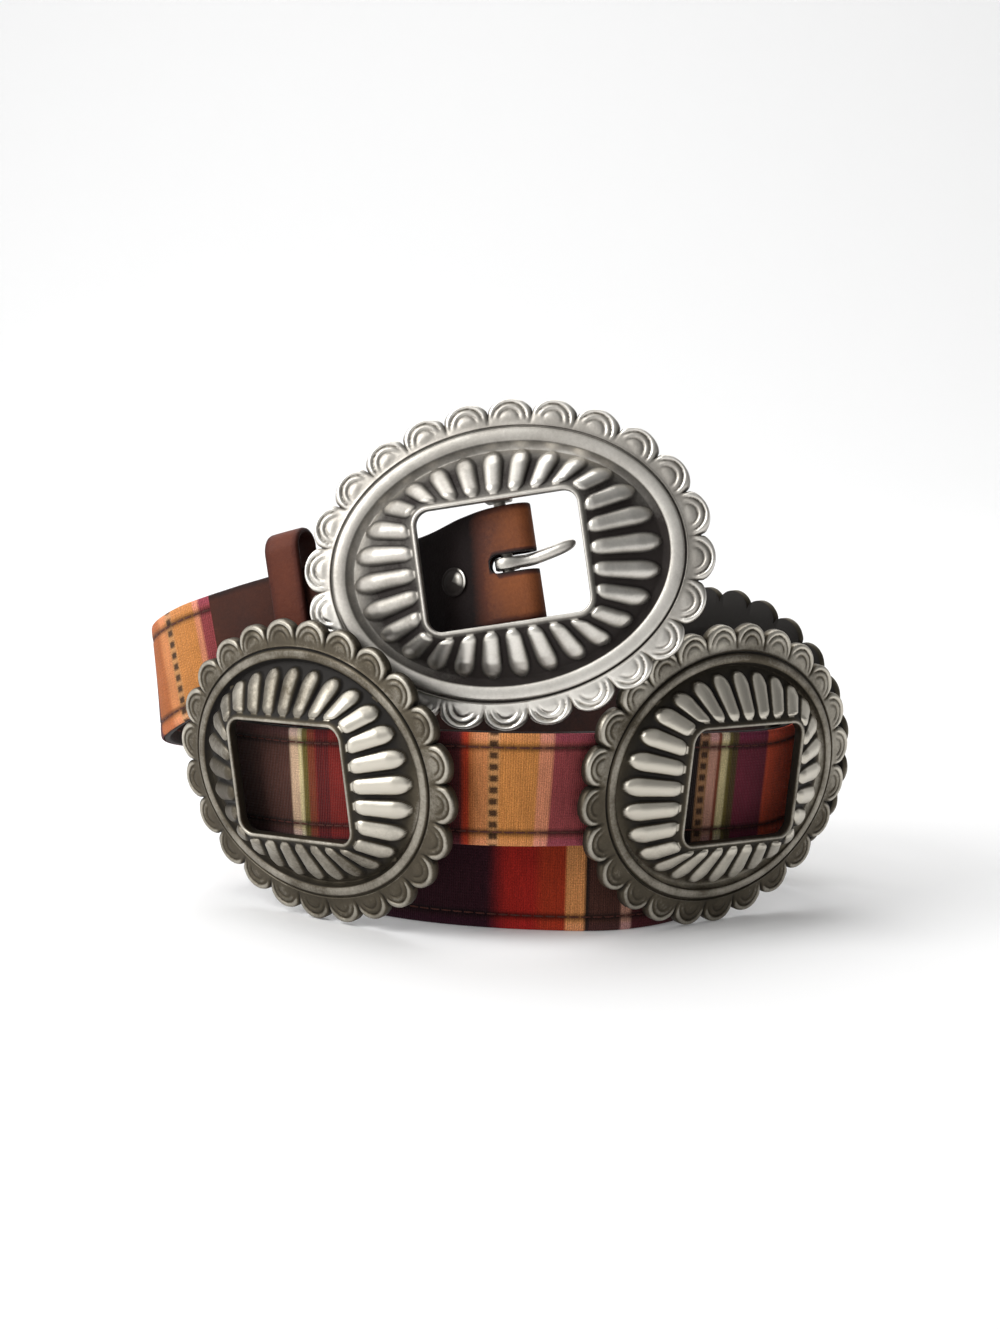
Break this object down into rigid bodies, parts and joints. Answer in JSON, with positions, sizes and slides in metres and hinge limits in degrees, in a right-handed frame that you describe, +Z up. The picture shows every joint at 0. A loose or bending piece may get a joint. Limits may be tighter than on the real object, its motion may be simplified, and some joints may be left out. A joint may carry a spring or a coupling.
{
  "type": "concho belt",
  "caption": "Western concho belt stood in a loose coil: leather strap faced with striped woven cloth, scalloped oval buckle with a swinging prong, leather keeper and open-centred cast conchos.",
  "frame": {"origin": "on the floor under the middle of the coil as it stands", "axes": "+Z up, -Y towards the viewer of the picture, +X to the right"},
  "size_m": [0.2586, 0.2005, 0.1858],
  "materials": {
    "serape_cloth": "flat-woven wool in wide and narrow stripes across the strap, matt, light stitching near both edges",
    "brown_leather": "dark brown leather, semi-matt, worn lighter at folds",
    "tan_leather": "reddish-brown smooth leather, satin",
    "buckle_silver": "cast antique silver, bright polished relief with dark oxidised recesses",
    "concho_silver": "cast antique silver, warmer and duller than the buckle, dark oxidised recesses"
  },
  "bodies": {
    "root": {"strap_leather": "brown_leather", "strap_serape": "serape_cloth", "buckle_tab": "brown_leather", "keeper": "tan_leather", "snap_front": "buckle_silver", "snap_back": "buckle_silver", "tip_leather": "brown_leather", "buckle_plate": "buckle_silver", "concho_left": "concho_silver", "concho_right": "concho_silver", "concho_rear": "concho_silver"},
    "prong": {"buckle_prong": "buckle_silver"}
  },
  "joints": [
    {"name": "prong_hinge", "type": "hinge", "parent": "root", "child": "prong", "pos_m": [0.00202, -0.06971, 0.12987], "axis": [0.1579, -0.2143, -0.9639], "range_deg": [-115, 115]}
  ]
}
